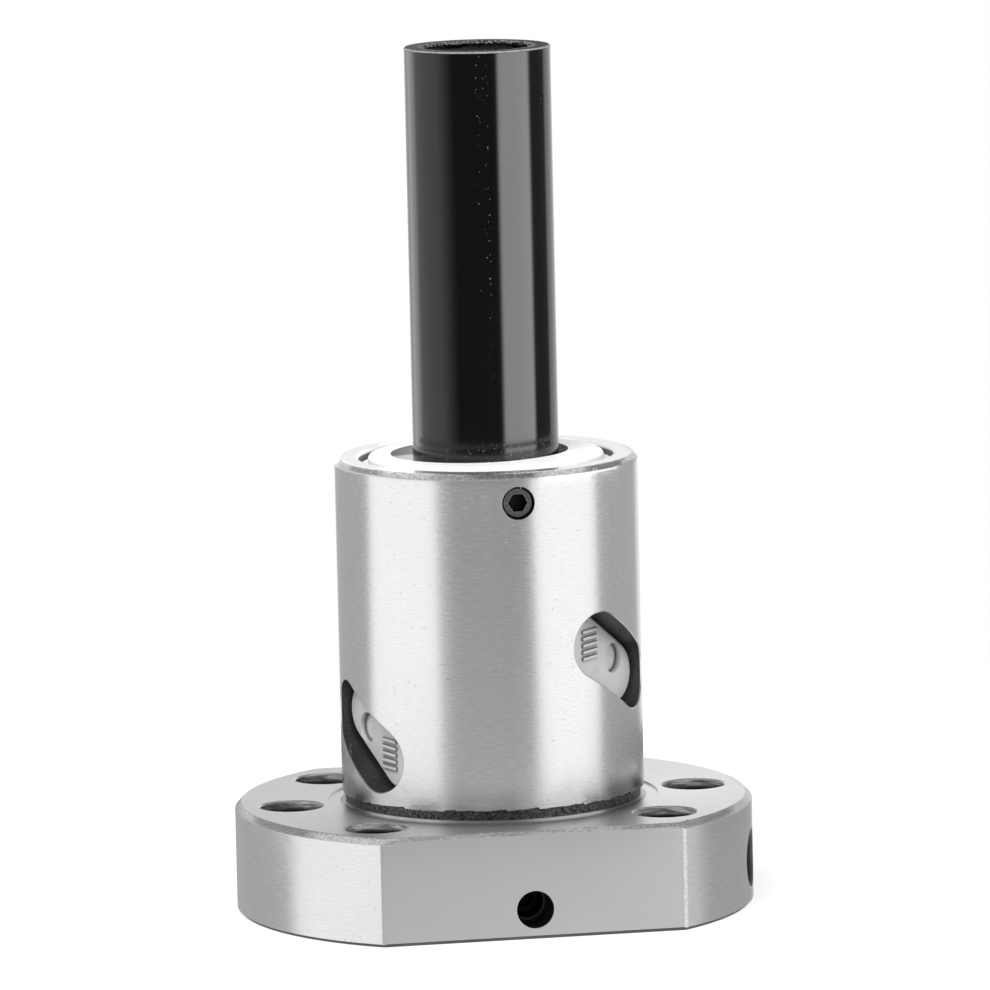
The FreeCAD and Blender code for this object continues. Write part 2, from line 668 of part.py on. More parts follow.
def makeSetScrew(name, angle, rise):
    """Set screw that keeps a wiper from turning."""
    body = doc.addObject("PartDesign::Body", name.title().replace("_", ""))
    body.Label = name
    shank = body.newObject("PartDesign::AdditiveCylinder", f"{body.Name}Shank")
    attach(shank, body, "XZ_Plane", facing(angle, rise, screwTip))
    bind(shank, Radius="Sizes.screwDiameter / 2", Height="Sizes.screwLength")
    doc.recompute()
    dress(body, "Chamfer", f"{body.Name}Point", "Sizes.screwPoint", lambda edge: (
        isinstance(edge.Curve, Part.Circle)
        and near(math.hypot(edge.CenterOfMass.x, edge.CenterOfMass.y), screwTip)))
    dress(body, "Chamfer", f"{body.Name}End", "Sizes.screwEnd", lambda edge: (
        isinstance(edge.Curve, Part.Circle)
        and near(math.hypot(edge.CenterOfMass.x, edge.CenterOfMass.y), f"{screwTip} + Sizes.screwLength")))
    socket = body.newObject("PartDesign::SubtractivePrism", f"{body.Name}Socket")
    floor = f"({screwTip} + Sizes.screwLength - Sizes.screwSocketDepth)"
    attach(socket, body, "XZ_Plane", facing(angle, rise, floor))
    socket.Polygon = 6
    bind(socket, Circumradius="Sizes.screwSocket / 2 / cos(30)", Height="Sizes.screwSocketDepth")
    return body


def makeArbor():
    body = doc.addObject("PartDesign::Body", "ArborTube")
    body.Label = "arbor_tube"
    rings = addSketch(body, "ArborSection", "XY_Plane")
    drawCircle(rings, "0", "0", arborRadius)
    drawCircle(rings, "0", "0", f"{arborRadius} - Sizes.arborWall")
    tube = body.newObject("PartDesign::Pad", "ArborLength")
    tube.Profile = rings
    bind(tube, Length="Sizes.arborLength")
    doc.recompute()
    dress(body, "Chamfer", "ArborEnds", "Sizes.arborEdge", lambda edge: (
        isRing(edge, "0") or isRing(edge, "Sizes.arborLength")))
    return body


pieces = [makeNutBody()]
pieces.extend(makeCaps())
pieces.extend(makeBalls())
pieces.extend(makeWipers())
upperScrew = size("Sizes.screwTurn") - 90
pieces.append(makeSetScrew("set_screw_top", upperScrew, f"{nutLength} - Sizes.screwInset"))
pieces.append(makeSetScrew("set_screw_bottom", -90, "Sizes.screwInset"))
pieces.append(makeArbor())
doc.recompute()

for item in doc.Objects:
    if "Invalid" in item.State or "Error" in item.State:
        raise RuntimeError(f"{item.Label} failed: {item.State}")
for piece in pieces:
    if piece.Shape.isNull() or not piece.Shape.isValid() or len(piece.Shape.Solids) != 1:
        raise RuntimeError(f"{piece.Label} is not one valid solid")

os.makedirs("parts", exist_ok=True)
for piece in pieces:
    piece.Shape.exportStep(f"parts/{piece.Label}.step")
print(f"{len(pieces)} pieces written")
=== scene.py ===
import math
import random
from types import SimpleNamespace
import bpy
from mathutils import Matrix, Vector


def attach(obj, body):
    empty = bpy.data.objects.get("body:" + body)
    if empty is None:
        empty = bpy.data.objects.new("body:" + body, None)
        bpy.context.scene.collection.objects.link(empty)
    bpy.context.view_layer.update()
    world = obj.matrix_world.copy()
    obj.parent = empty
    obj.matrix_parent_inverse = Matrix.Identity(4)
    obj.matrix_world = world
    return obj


# Looks of the ball screw nut, in the frame of the CAD. Sizes are millimetres and angles degrees
# from +X, unless a note says otherwise.
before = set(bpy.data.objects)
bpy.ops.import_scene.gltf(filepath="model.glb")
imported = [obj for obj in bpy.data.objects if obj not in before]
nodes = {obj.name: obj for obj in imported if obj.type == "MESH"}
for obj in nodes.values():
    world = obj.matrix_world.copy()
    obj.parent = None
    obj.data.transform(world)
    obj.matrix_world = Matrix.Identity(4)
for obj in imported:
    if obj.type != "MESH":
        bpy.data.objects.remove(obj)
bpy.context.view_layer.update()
mm = 0.001

nut = {
    "barrel": 14.0, "top": 42.0, "chamfer": 0.5, "seat": 11.8, "relief": 11.3,
    "rim": 24.0, "flange": 10.0, "flangeChamfer": 0.6, "flat": 19.5, "flatChamfer": 0.35,
    "boltCorner": 13.435, "boltMiddle": 19.0, "boltHole": 2.9,
}
screwHole = {"rise": 2.75, "radius": 1.725, "inner": 11.5}
oilPort = {"angle": -18.5, "rise": 4.2, "core": 2.5}
tube = {"outer": 6.75, "bore": 5.1, "top": 79.8}


# Node graphs

def grey(level):
    return (level, level, level)


# Short names for the nodes of one material or of the world
class Graph:
    def __init__(self, owner):
        owner.use_nodes = True
        self.tree = owner.node_tree
        self.tree.nodes.clear()

    def add(self, kind, inputs=None, **settings):
        node = self.tree.nodes.new("ShaderNode" + kind)
        for name, value in settings.items():
            setattr(node, name, value)
        for name, value in (inputs or {}).items():
            self.put(node.inputs[name], value)
        return node

    def put(self, socket, value):
        if isinstance(value, bpy.types.NodeSocket):
            self.tree.links.new(value, socket)
        elif isinstance(value, tuple) and len(value) == 3 and len(socket.default_value) == 4:
            socket.default_value = (*value, 1.0)
        else:
            socket.default_value = value

    def math(self, operation, *values):
        return self.add("Math", dict(enumerate(values)), operation=operation).outputs[0]

    # Smooth 0 to 1 as the value goes from start to end, which may be the lower one
    def step(self, value, start, end):
        inputs = {"Value": value, "From Min": start, "From Max": end}
        return self.add("MapRange", inputs, interpolation_type="SMOOTHSTEP").outputs[0]

    def scaled(self, value, low, high, newLow, newHigh):
        names = ("Value", "From Min", "From Max", "To Min", "To Max")
        return self.add("MapRange", dict(zip(names, (value, low, high, newLow, newHigh)))).outputs[0]

    # Noise keeps near its middle, so its inner part is spread over the new range
    def spread(self, noise, newLow, newHigh):
        return self.scaled(noise, 0.3, 0.7, newLow, newHigh)

    def mix(self, share, first, second):
        node = self.add("Mix", data_type="RGBA")
        for index, value in ((0, share), (6, first), (7, second)):
            self.put(node.inputs[index], value)
        return node.outputs[2]

    def blend(self, share, first, second):
        node = self.add("Mix", data_type="FLOAT")
        for index, value in ((0, share), (2, first), (3, second)):
            self.put(node.inputs[index], value)
        return node.outputs[0]

    def noise(self, vector, scale, detail=3.0, roughness=0.55):
        inputs = {"Vector": vector, "Scale": scale, "Detail": detail, "Roughness": roughness}
        return self.add("TexNoise", inputs).outputs[0]

    def ramp(self, value, stops):
        node = self.add("ValToRGB", {"Fac": value})
        elements = node.color_ramp.elements
        while len(elements) < len(stops):
            elements.new(0.5)
        for element, (place, level) in zip(elements, stops):
            element.position = place
            element.color = (*grey(level), 1.0)
        return node.outputs[0]

    # Distance in metres
    def bump(self, height, distance, strength, normal=None):
        inputs = {"Height": height, "Distance": distance, "Strength": strength}
        if normal is not None:
            inputs["Normal"] = normal
        return self.add("Bump", inputs).outputs[0]

    # Normal of edges rounded by a radius in metres
    def rounded(self, radius, samples=4):
        return self.add("Bevel", {"Radius": radius}, samples=samples).outputs[0]

    # Distance between two points of a plane
    def apart(self, x, y, middleX=0.0, middleY=0.0):
        across = self.math("SUBTRACT", x, middleX)
        along = self.math("SUBTRACT", y, middleY)
        squares = self.math("MULTIPLY", across, across), self.math("MULTIPLY", along, along)
        return self.math("SQRT", self.math("ADD", *squares))

    # 1 where every value is 1
    def all(self, *values):
        result = values[0]
        for value in values[1:]:
            result = self.math("MULTIPLY", result, value)
        return result

    # 1 where any value is 1
    def any(self, *values):
        result = values[0]
        for value in values[1:]:
            result = self.math("MAXIMUM", result, value)
        return result

    # 1 for rays that the camera sends out, also off polished and through clear pieces
    def seen(self):
        path = self.add("LightPath").outputs
        return self.any(path["Is Camera Ray"], path["Is Glossy Ray"], path["Is Transmission Ray"])

    # Coordinates of the object in millimetres, and its angle in turns
    def place(self):
        coordinates = self.add("TexCoord").outputs["Object"]
        point = self.add("VectorMath", {0: coordinates, "Scale": 1 / mm}, operation="SCALE").outputs[0]
        x, y, z = self.add("SeparateXYZ", {0: point}).outputs
        turn = self.math("DIVIDE", self.math("ARCTAN2", y, x), 2 * math.pi)
        return SimpleNamespace(point=point, x=x, y=y, z=z, radius=self.apart(x, y), turn=turn)

    def glow(self, strength, colour=grey(1.0)):
        return self.add("Emission", {"Color": colour, "Strength": strength}).outputs[0]

    def surface(self, shader):
        self.tree.links.new(shader, self.add("OutputMaterial").inputs["Surface"])

    def principled(self, colour, rough, more):
        inputs = {"Base Color": colour, "Roughness": rough, **more}
        self.surface(self.add("BsdfPrincipled", inputs).outputs[0])


def makeMaterial(name):
    material = bpy.data.materials.new(name)
    return material, Graph(material)


# Camera at the photograph's view

camera = {
    "target": (0.0, 0.0, 40.0), "distance": 797.126,
    "azimuth": -10.669, "elevation": 7.965, "roll": -1.269,
    "sensor": 36.0,
    "picture": 990, "focal": 8627.256, "targetPixel": (486.219, 475.04),    # pixels
}


def placeCamera():
    azimuth, elevation, roll = (math.radians(camera[name]) for name in ("azimuth", "elevation", "roll"))
    level = math.cos(elevation)
    back = Vector((math.sin(azimuth) * level, -math.cos(azimuth) * level, math.sin(elevation)))
    right = (-back).cross(Vector((0, 0, 1))).normalized()
    up = right.cross(-back)
    across = right * math.cos(roll) + up * math.sin(roll)
    upward = up * math.cos(roll) - right * math.sin(roll)
    picture, (column, row) = camera["picture"], camera["targetPixel"]
    data = bpy.data.cameras.new("camera")
    data.sensor_width = camera["sensor"]
    data.lens = camera["focal"] / picture * camera["sensor"]
    data.shift_x = (picture / 2 - column) / picture
    data.shift_y = (row - picture / 2) / picture
    data.clip_start, data.clip_end = 0.01, 20.0
    eye = bpy.data.objects.new("camera", data)
    bpy.context.scene.collection.objects.link(eye)
    turned = Matrix((across, upward, back)).transposed().to_4x4()
    place = (Vector(camera["target"]) + back * camera["distance"]) * mm
    eye.matrix_world = Matrix.Translation(place) @ turned
    bpy.context.scene.camera = eye


# Floor, light tents and lamps

def addMesh(name, vertices, faces):
    mesh = bpy.data.meshes.new(name)
    mesh.from_pydata(vertices, [], faces)
    mesh.update()
    thing = bpy.data.objects.new(name, mesh)
    bpy.context.scene.collection.objects.link(thing)
    return thing


# Angle in radians
def ringPoint(radius, angle, height):
    return Vector((radius * math.cos(angle), radius * math.sin(angle), height)) * mm


floorPaper = {
    "half": 3.0, "whiteFrom": 0.07, "whiteTo": 0.16,        # metres
    "paper": (0.36, 0.39), "grain": 900.0, "glow": 0.66,
}


def makeFloor():
    half = floorPaper["half"]
    corners = [(-half, -half, 0), (half, -half, 0), (half, half, 0), (-half, half, 0)]
    sheet = addMesh("floor", corners, [(0, 1, 2, 3)])
    sheet.visible_glossy = False
    material, g = makeMaterial("floor_paper")
    coordinates = g.add("TexCoord").outputs["Object"]
    dark, light = floorPaper["paper"]
    paper = g.mix(g.noise(coordinates, floorPaper["grain"], 2.0), grey(dark), grey(light))
    diffuse = g.add("BsdfDiffuse", {"Color": paper}).outputs[0]
    near = g.add("AddShader", {0: diffuse, 1: g.glow(floorPaper["glow"])}).outputs[0]
    distance = g.add("VectorMath", {0: coordinates}, operation="LENGTH").outputs["Value"]
    far = g.step(distance, floorPaper["whiteFrom"], floorPaper["whiteTo"])
    both = g.add("MixShader", {0: far, 1: near, 2: g.glow(1.0)}).outputs[0]
    g.surface(g.add("MixShader", {0: g.seen(), 1: diffuse, 2: both}).outputs[0])
    sheet.data.materials.append(material)


# Brightness by angle, soft by so many degrees at each change
def bandLight(g, bands, soft):
    share = g.math("ADD", g.place().turn, 0.5)
    stops, previous = [], bands[-1][1]
    for angle, bright in bands:
        middle = (angle + 180) / 360
        stops += [(middle - soft / 360, previous), (middle + soft / 360, bright)]
        previous = bright
    most = max(bright for _, bright in bands)
    colour = g.ramp(share, [(place, bright / most) for place, bright in stops])
    return g.math("MULTIPLY", colour, most)


# Ring walls of light. Each band: from angle, brightness. Upper bands take over as z goes through rise
tents = {
    "tent_foot": {
        "radius": 82, "low": -30, "high": -0.4, "soft": 4.0,
        "bands": [(-137, 0.56), (-95, 0.58), (-83, 0.63), (-71, 0.68), (-60, 1.3), (-24, 0.62),
                  (-8, 0.40), (50, 0.8), (101, 0.45), (171, 1.05)],
    },
    "tent_line": {
        "radius": 82, "low": -0.4, "high": 3.2, "soft": 4.0,
        "bands": [(-136, 0.45), (-128, 0.30), (-92, 0.26), (-71, 1.12), (-17, 0.26), (0, 0.15),
                  (60, 0.13), (100, 0.15), (138, 0.5), (160, 0.95)],
    },
    "tent_low": {
        "radius": 82, "low": 3.2, "high": 46, "soft": 2.0,
        "bands": [(-136, 0.55), (-128, 0.43), (-92, 0.42), (-67.5, 1.19), (-17, 0.46), (45, 0.9),
                  (60, 1.15), (76, 0.98), (86, 0.86), (101, 0.46), (165, 1.16)],
        "upper": [(-136, 0.50), (-128, 0.35), (-92, 0.33), (-69.5, 1.21), (-17, 0.46), (45, 0.9),
                  (60, 1.15), (76, 0.98), (86, 0.86), (101, 0.46), (165, 1.17)],
        "rise": (10, 30),
    },
    "tent_tube": {
        "radius": 16.5, "low": 41.4, "high": 150, "soft": 2.5,
        "bands": [(-154, 0.85), (-147, 0.5), (-140, 0.2), (-134, 0.05), (-76, 5.3), (-30, 0.16),
                  (4.8, 1.0), (95, 1.9), (114, 1.0), (138, 1.9), (161, 1.1)],
    },
}


def makeTent(name, radius, low, high, bands, soft, upper=None, rise=None):
    count = 96
    vertices, faces = [], []
    for step in range(count):
        angle = 2 * math.pi * step / count
        vertices += [ringPoint(radius, angle, low), ringPoint(radius, angle, high)]
        start, following = 2 * step, 2 * ((step + 1) % count)
        faces.append((start, start + 1, following + 1, following))
    tent = addMesh(name, vertices, faces)
    material, g = makeMaterial(name + "_light")
    strength = bandLight(g, bands, soft)
    if upper:
        strength = g.blend(g.scaled(g.place().z, *rise, 0.0, 1.0), strength, bandLight(g, upper, soft))
    g.surface(g.glow(strength))
    tent.data.materials.append(material)
    onlyReflected(tent)


# Flat strips over the chamfers. Limit is how far out to the front they reach, and beyond the
# brightness farther out than the edge
edgeLights = {
    "barrel_edge_light": {
        "radius": nut["barrel"], "limit": nut["barrel"], "height": nut["top"] + 0.35, "beyond": 0.70,
        "bands": [(-172, 0.42), (-148, 0.85), (-123, 0.46), (-106, 0.22), (-80, 0.80), (-57, 0.27),
                  (-29, 0.85), (60, 0.85)],
    },
    "flange_edge_light": {
        "radius": nut["rim"], "limit": nut["flat"], "height": nut["flange"] + 0.35, "beyond": 0.6,
        "bands": [(-173, 0.36), (-147, 0.78), (-124, 0.52), (-100, 0.46), (-88, 0.60), (-67, 0.42),
                  (-46, 0.30), (-29, 0.60), (-18, 0.9), (60, 0.75)],
    },
}
edgeStrip = {"from": -204, "stride": 3, "count": 73, "inward": 0.45, "outward": 2.5,
             "fadeFrom": 0.15, "fadeTo": 0.6, "soft": 3.0}


def makeEdgeLight(name, radius, limit, height, bands, beyond):
    vertices, faces = [], []
    for step in range(edgeStrip["count"]):
        angle = math.radians(edgeStrip["from"] + edgeStrip["stride"] * step)
        reach = min(radius, limit / max(0.01, abs(math.sin(angle))))
        vertices += [ringPoint(reach - edgeStrip["inward"], angle, height),
                     ringPoint(reach + edgeStrip["outward"], angle, height)]
        if step:
            faces.append((2 * step - 2, 2 * step - 1, 2 * step + 1, 2 * step))
    strip = addMesh(name, vertices, faces)
    material, g = makeMaterial(name)
    far = g.step(g.place().radius, radius + edgeStrip["fadeFrom"], radius + edgeStrip["fadeTo"])
    g.surface(g.glow(g.blend(far, bandLight(g, bands, edgeStrip["soft"]), beyond)))
    strip.data.materials.append(material)
    onlyReflected(strip)


def onlyReflected(thing):
    thing.visible_camera = False
    thing.visible_diffuse = False
    thing.visible_shadow = False
    thing.visible_transmission = False


footShade = {"corners": 96, "beyond": 0.25, "drop": 0.15, "greys": (0.10, 0.16)}


# The shade under the foot, as its lower edge reflects it
def makeShade():
    corners = footShade["corners"]
    reach, limit = nut["rim"] + footShade["beyond"], nut["flat"] + footShade["beyond"]
    outline = []
    for corner in range(corners):
        angle = 2 * math.pi * corner / corners
        along = max(-limit, min(limit, reach * math.sin(angle)))
        outline.append(Vector((reach * math.cos(angle), along, -footShade["drop"])) * mm)
    shade = addMesh("foot_shade", outline, [tuple(range(corners))])
    material, g = makeMaterial("foot_shade")
    dark, light = footShade["greys"]
    g.surface(g.glow(1.0, g.mix(g.noise(g.place().point, 0.3), grey(dark), grey(light))))
    shade.data.materials.append(material)
    onlyReflected(shade)


# Metres and watts
lampRig = {
    "aim": (0, 0, 0.03), "width": 0.5,
    "lamps": {"key": ((-0.35, -0.45, 0.75), 7.4), "fill": ((0.6, -0.3, 0.5), 2.5)},
}


def makeLamp(name, place, watts):
    data = bpy.data.lights.new(name, "AREA")
    data.size = lampRig["width"]
    data.energy = watts
    lamp = bpy.data.objects.new(name, data)
    bpy.context.scene.collection.objects.link(lamp)
    lamp.location = place
    lamp.rotation_mode = "QUATERNION"
    lamp.rotation_quaternion = (Vector(lampRig["aim"]) - Vector(place)).to_track_quat("-Z", "Y")
    lamp.visible_glossy = False


sky = {"lighting": 0.55, "seen": 1.0, "low": 0.34, "high": 0.50, "side": 0.90, "overhead": 0.26}


# White to look at, dimmer as a light, and in reflections bright at the sides only
def makeWorld():
    world = bpy.data.worlds.new("studio")
    bpy.context.scene.world = world
    g = Graph(world)
    strength = g.blend(g.seen(), sky["lighting"], sky["seen"])
    upward = g.add("SeparateXYZ", {0: g.add("TexCoord").outputs["Generated"]}).outputs[2]
    reflected = g.scaled(upward, sky["low"], sky["high"], sky["side"], sky["overhead"])
    strength = g.blend(g.add("LightPath").outputs["Is Glossy Ray"], strength, reflected)
    background = g.add("Background", {"Color": grey(1.0), "Strength": strength}).outputs[0]
    g.tree.links.new(background, g.add("OutputWorld").inputs["Surface"])


placeCamera()
makeFloor()
makeWorld()
makeShade()
for tentName, tent in tents.items():
    makeTent(tentName, **tent)
for lightName, light in edgeLights.items():
    makeEdgeLight(lightName, **light)
for lampName, (lampPlace, lampWatts) in lampRig["lamps"].items():
    makeLamp(lampName, lampPlace, lampWatts)
bpy.context.scene.view_settings.view_transform = "Standard"
print("camera, floor and light made")


# Materials of the CAD nodes

steel = {
    "dull": grey(0.72), "bright": (0.835, 0.835, 0.832), "cloud": (0.74, 0.737, 0.73),
    "worn": (0.40, 0.395, 0.39), "paintedReflection": (0.17, 0.168, 0.165), "corner": grey(0.58),
    "cut": (0.20, 0.197, 0.195), "cutShade": grey(0.04), "neckShade": grey(0.02),
    "bored": grey(0.62), "boredShade": grey(0.05),
    "roughness": (0.19, 0.27), "flatRoughness": 0.20, "topRoughness": 0.35, "cutRoughness": 0.45,
    "girth": 88.0,
    # roundings and heights in metres
    "edge": 0.00007, "lip": 0.0003,
    "ripple": 0.0000055, "lay": 0.0000045, "pits": 0.00003, "coarse": 0.00005,
}


# Coordinates with a wavelength of so many millimetres round the barrel, up it and out from its axis
def ringed(g, at, around, up, out):
    return g.add("CombineXYZ", {
        0: g.math("MULTIPLY", at.turn, steel["girth"] / around),
        1: g.math("MULTIPLY", at.z, 1.0 / up),
        2: g.math("MULTIPLY", at.radius, 1.0 / out)}).outputs[0]


# Walls of windows, track and seats, of the lower screw's hole and of the oil port: machined, not ground, and
# painted dark as shade in the recesses
def wallMask(g, at):
    barrel, top, flat, rim = nut["barrel"], nut["top"], nut["flat"], nut["rim"]
    window = g.all(g.step(at.radius, barrel - 0.07, barrel - 0.15),
                   g.step(at.radius, barrel - 3.0, barrel - 2.9),
                   g.step(at.z, nut["relief"] + 0.03, nut["relief"] + 0.1),
                   g.step(at.z, top - 0.8, top - 1.0))
    seat = g.all(g.step(at.radius, nut["seat"] + 0.12, nut["seat"] + 0.05),
                 g.step(at.z, top - 0.25, top - 0.4))
    fromScrew = g.apart(at.x, at.z, 0.0, screwHole["rise"])
    screw = g.all(g.step(fromScrew, screwHole["radius"] + 0.075, screwHole["radius"] + 0.035),
                  g.step(at.y, 0.16 - flat, 0.22 - flat),
                  g.step(at.y, 0.5 - screwHole["inner"], -screwHole["inner"]))
    angle = math.radians(oilPort["angle"])
    ahead, aside = math.cos(angle), math.sin(angle)
    out = g.math("ADD", g.math("MULTIPLY", at.x, ahead), g.math("MULTIPLY", at.y, aside))
    across = g.math("SUBTRACT", g.math("MULTIPLY", at.y, ahead), g.math("MULTIPLY", at.x, aside))
    fromPort = g.apart(across, at.z, 0.0, oilPort["rise"])
    port = g.all(g.step(fromPort, oilPort["core"] + 0.24, oilPort["core"] + 0.20),
                 g.step(out, barrel, barrel + 0.3), g.step(at.radius, rim + 0.05, rim + 0.02))
    return g.any(window, seat, screw, port)


# Walls of the bolt holes, inside both of their rims
def boltMask(g, at):
    foldX, foldY = g.math("ABSOLUTE", at.x), g.math("ABSOLUTE", at.y)
    corner = g.apart(foldX, foldY, nut["boltCorner"], nut["boltCorner"])
    middle = g.apart(foldX, foldY, nut["boltMiddle"], 0.0)
    near = g.step(g.math("MINIMUM", corner, middle), nut["boltHole"] + 0.04, nut["boltHole"] + 0.01)
    return g.all(near, g.step(at.z, nut["flange"] - 0.07, nut["flange"] - 0.13), g.step(at.z, 0.05, 0.12))


# Chamfers of the barrel, the round rim and the flats
def wornMask(g, at, side):
    top, flange = nut["top"], nut["flange"]
    low = top - nut["chamfer"]
    barrelEdge = g.all(g.step(at.z, low - 0.03, low + 0.03), g.step(at.z, top, top - 0.01),
                       g.step(at.radius, nut["barrel"] - 0.8, nut["barrel"] - 0.65))
    low = flange - nut["flangeChamfer"]
    inner = nut["rim"] - nut["flangeChamfer"]
    rimEdge = g.all(g.step(at.z, low - 0.01, low + 0.03), g.step(at.radius, inner - 0.05, inner))
    low = flange - nut["flatChamfer"]
    flatEdge = g.all(g.step(at.z, low - 0.01, low + 0.02),
                     g.step(side, nut["flat"] - 0.4, nut["flat"] - 0.34))
    belowTop = g.step(at.z, flange + 0.01, flange - 0.015)
    return g.any(barrelEdge, g.all(g.any(rimEdge, flatEdge), belowTop))


# The dark neck at the barrel's foot, which the grinding wheel doesn't reach
def neckMask(g, at):
    barrel, flange, relief = nut["barrel"], nut["flange"], nut["relief"]
    corner = g.all(g.step(at.z, flange + 0.80, flange + 0.75), g.step(at.radius, barrel + 0.2, barrel + 0.1))
    return g.all(g.step(at.z, relief + 0.06, relief + 0.01), g.step(at.z, flange - 0.02, flange + 0.10),
                 g.any(g.step(at.radius, barrel - 0.12, barrel - 0.18), corner))


# Painted dark reflection low on the barrel, strong at its left and right, with a weak patch between
def paintedReflectionMask(g, at, cloudy):
    sides = g.any(g.step(at.turn, -0.158, -0.135), g.step(at.turn, -0.425, -0.45))
    fromPatch = g.math("ABSOLUTE", g.math("ADD", at.turn, 0.288))
    strength = g.blend(sides, g.scaled(fromPatch, 0.03, 0.055, 0.36, 0.03), 0.75)
    return g.all(g.step(at.z, nut["relief"] + 2.6, nut["relief"]), strength,
                 g.scaled(cloudy, 0.35, 0.6, 0.6, 1.1),
                 g.step(at.radius, nut["barrel"] + 0.3, nut["barrel"] + 0.1))


def steelMasks(g, at, noises):
    side = g.math("ABSOLUTE", at.y)
    flat, flange, rim = nut["flat"], nut["flange"], nut["rim"]
    neck = neckMask(g, at)
    return SimpleNamespace(
        flat=g.all(g.step(side, flat - 0.2, flat - 0.1), g.step(at.z, flange, flange - 0.1)),
        worn=wornMask(g, at, side), neck=neck, wall=g.any(wallMask(g, at), neck), bolt=boltMask(g, at),
        paintedReflection=paintedReflectionMask(g, at, noises.cloudy),
        top=g.all(g.step(at.z, flange - 0.2, flange - 0.16),
                  g.step(at.z, flange + 0.1, flange + 0.05)),
        corner=g.all(g.step(side, flat - 0.22, flat - 0.17), g.step(at.radius, rim - 0.2, rim - 0.15),
                     g.step(at.z, flange, flange - 0.4), g.step(at.x, 0.0, 1.0)))


def steelNoises(g, at):
    stretched = g.add("VectorMath", {0: at.point, 1: (0.5, 0.5, 3.5)}, operation="MULTIPLY").outputs[0]
    return SimpleNamespace(
        lay=g.noise(ringed(g, at, 0.9, 0.10, 0.10), 1.0, 3.0, 0.6),
        ripple=g.noise(ringed(g, at, 0.55, 0.35, 0.4), 1.0, 2.0, 0.6),
        grain=g.noise(at.point, 4.0, 4.0, 0.65), cloudy=g.noise(at.point, 0.16, 4.0, 0.6),
        pitted=g.noise(at.point, 2.6, 1.0), rings=g.noise(stretched, 1.0, 4.0, 0.7))


def steelColour(g, at, noises, masks):
    grain = noises.grain
    lay = g.blend(masks.flat, g.spread(noises.lay, 0.0, 1.0), 0.6)
    ground = g.mix(lay, steel["dull"], steel["bright"])
    ground = g.mix(g.scaled(noises.cloudy, 0.4, 0.65, 0.0, 0.3), ground, steel["cloud"])
    ground = g.mix(g.all(masks.worn, g.scaled(grain, 0.42, 0.60, 0.0, 0.6)), ground, steel["worn"])
    # Painted dark reflection low on the barrel
    ground = g.mix(masks.paintedReflection, ground, steel["paintedReflection"])
    ground = g.mix(g.all(masks.corner, g.scaled(grain, 0.35, 0.6, 0.2, 1.0)), ground, steel["corner"])
    # The neck dark with unground scale, the walls painted dark as shade in the recesses
    neck = g.mix(g.scaled(grain, 0.35, 0.65, 0.0, 1.0), steel["neckShade"], steel["cut"])
    dark = g.mix(masks.neck, g.mix(grain, steel["cutShade"], steel["cut"]), neck)
    rings = g.math("MULTIPLY", g.scaled(noises.rings, 0.42, 0.62, 0.15, 1.0),
                   g.step(at.z, nut["flange"] - 1.0, nut["flange"] - 0.4))
    bored = g.mix(rings, steel["boredShade"], steel["bored"])
    return g.mix(masks.bolt, g.mix(masks.wall, ground, dark), bored)


# Edges rounded, most at the barrel's lip, then the marks of grinding, pits and coarser cuts
def steelNormal(g, at, noises, masks):
    lip = g.all(g.step(at.z, nut["top"] - 1.0, nut["top"] - 0.8),
                g.step(at.radius, nut["barrel"] - 1.0, nut["barrel"] - 0.9))
    still = g.blend(masks.flat, 1.0, 0.10)
    coarse = g.any(g.math("MULTIPLY", masks.worn, 0.45), g.math("MULTIPLY", masks.wall, 0.3), masks.bolt)
    normal = g.rounded(g.blend(lip, steel["edge"], steel["lip"]))
    normal = g.bump(g.math("MULTIPLY", noises.ripple, still), steel["ripple"], 0.9, normal)
    normal = g.bump(g.math("MULTIPLY", noises.lay, still), steel["lay"], 0.9, normal)
    pits = g.math("MULTIPLY", g.step(noises.pitted, 0.755, 0.785), still)
    normal = g.bump(pits, -steel["pits"], 0.9, normal)
    return g.bump(g.math("MULTIPLY", noises.grain, coarse), steel["coarse"], 0.8, normal)


def makeSteel():
    material, g = makeMaterial("ground_steel")
    at = g.place()
    noises = steelNoises(g, at)
    masks = steelMasks(g, at, noises)
    rough = g.blend(masks.flat, g.spread(noises.lay, *steel["roughness"]), steel["flatRoughness"])
    rough = g.blend(masks.top, rough, steel["topRoughness"])
    rough = g.blend(g.any(masks.wall, masks.bolt, masks.corner), rough, steel["cutRoughness"])
    lit = g.math("MULTIPLY", masks.bolt, g.step(at.z, nut["flange"] - 1.0, nut["flange"] - 0.5))
    tangent = g.add("Tangent", direction_type="RADIAL", axis="Z").outputs[0]
    g.principled(steelColour(g, at, noises, masks), rough, {
        "Metallic": g.blend(lit, 1.0, 0.25), "Normal": steelNormal(g, at, noises, masks),
        "Tangent": tangent, "Anisotropic": 0.35, "Anisotropic Rotation": 0.25})
    return material


castZinc = {
    "dark": (0.84, 0.84, 0.835), "light": (0.94, 0.94, 0.93), "cloud": (0.76, 0.76, 0.75),
    "paintedCreviceShade": (0.10, 0.10, 0.098), "roughness": (0.34, 0.46),
    "edge": 0.00006, "creviceShadeReach": 0.0005, "grain": 0.00001,       # metres
}


